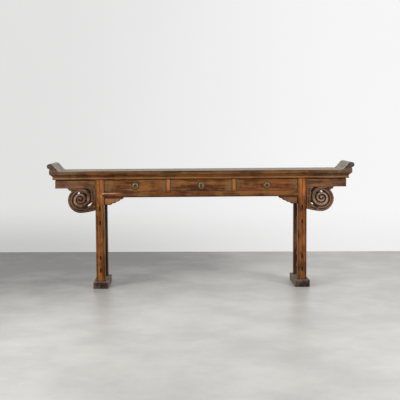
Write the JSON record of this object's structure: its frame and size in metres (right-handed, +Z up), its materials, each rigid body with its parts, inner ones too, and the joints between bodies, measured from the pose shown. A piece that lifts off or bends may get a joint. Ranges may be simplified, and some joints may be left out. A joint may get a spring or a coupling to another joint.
{
  "type": "altar table",
  "caption": "Long narrow side table on recessed trestle legs, with upturned rolled ends, openwork scroll brackets and a row of drawers with brass ring pulls.",
  "frame": {"origin": "on the floor, under the middle of the top", "axes": "+X along the table to its right end, +Y from the drawer side to the back, +Z up"},
  "size_m": [2.364, 0.38, 0.97],
  "materials": {
    "top_wood": "worn dark lacquer over elm, greyed on the surface",
    "frame_wood": "warm reddish-brown elm with old lacquer, worn on the edges",
    "foot_wood": "dull, scuffed dark brown elm",
    "carved_wood": "darker brown carved elm, dusty in the grooves",
    "drawer_front_wood": "satin reddish-brown elm",
    "inside_wood": "dry unfinished softwood",
    "aged_brass": "dark aged brass, rubbed bright on the rings"
  },
  "bodies": {
    "frame": {"apron_back_left": "carved_wood", "apron_back_right": "carved_wood", "apron_end_left": "carved_wood", "apron_end_right": "carved_wood", "apron_front_left": "carved_wood", "apron_front_right": "carved_wood", "back_board": "frame_wood", "case_ends": "frame_wood", "case_partitions": "inside_wood", "drawer_runners": "inside_wood", "end_panels_left": "frame_wood", "end_panels_right": "frame_wood", "end_rails_left": "frame_wood", "end_rails_right": "frame_wood", "flange_left": "top_wood", "flange_right": "top_wood", "leg_back_left": "frame_wood", "leg_back_right": "frame_wood", "leg_front_left": "frame_wood", "leg_front_right": "frame_wood", "lower_rail_back": "frame_wood", "lower_rail_front": "frame_wood", "scroll_back_left": "carved_wood", "scroll_back_right": "carved_wood", "scroll_front_left": "carved_wood", "scroll_front_right": "carved_wood", "shoe_left": "foot_wood", "shoe_right": "foot_wood", "spandrel_back_left": "carved_wood", "spandrel_back_right": "carved_wood", "spandrel_front_left": "carved_wood", "spandrel_front_right": "carved_wood", "stile_left": "frame_wood", "stile_right": "frame_wood", "top_battens": "inside_wood", "top_panel": "top_wood", "top_rail_back": "top_wood", "top_rail_front": "top_wood"},
    "drawer_left": {"drawer_left_back": "inside_wood", "drawer_left_bottom": "inside_wood", "drawer_left_front": "drawer_front_wood", "drawer_left_pin": "aged_brass", "drawer_left_plate": "aged_brass", "drawer_left_sides": "inside_wood"},
    "ring_left": {"drawer_left_ring": "aged_brass"},
    "drawer_middle": {"drawer_middle_back": "inside_wood", "drawer_middle_bottom": "inside_wood", "drawer_middle_front": "drawer_front_wood", "drawer_middle_pin": "aged_brass", "drawer_middle_plate": "aged_brass", "drawer_middle_sides": "inside_wood"},
    "ring_middle": {"drawer_middle_ring": "aged_brass"},
    "drawer_right": {"drawer_right_back": "inside_wood", "drawer_right_bottom": "inside_wood", "drawer_right_front": "drawer_front_wood", "drawer_right_pin": "aged_brass", "drawer_right_plate": "aged_brass", "drawer_right_sides": "inside_wood"},
    "ring_right": {"drawer_right_ring": "aged_brass"}
  },
  "joints": [
    {"name": "drawer_left_slide", "type": "slide", "parent": "frame", "child": "drawer_left", "axis": [0, -1, 0], "range_m": [0, 0.2]},
    {"name": "ring_left_swing", "type": "hinge", "parent": "drawer_left", "child": "ring_left", "pos_m": [-0.509, -0.167, 0.81215], "axis": [-1, 0, 0], "range_deg": [-4, 160]},
    {"name": "drawer_middle_slide", "type": "slide", "parent": "frame", "child": "drawer_middle", "axis": [0, -1, 0], "range_m": [0, 0.2]},
    {"name": "ring_middle_swing", "type": "hinge", "parent": "drawer_middle", "child": "ring_middle", "pos_m": [0, -0.167, 0.81615], "axis": [-1, 0, 0], "range_deg": [-4, 160]},
    {"name": "drawer_right_slide", "type": "slide", "parent": "frame", "child": "drawer_right", "axis": [0, -1, 0], "range_m": [0, 0.2]},
    {"name": "ring_right_swing", "type": "hinge", "parent": "drawer_right", "child": "ring_right", "pos_m": [0.509, -0.167, 0.81215], "axis": [-1, 0, 0], "range_deg": [-4, 160]}
  ]
}
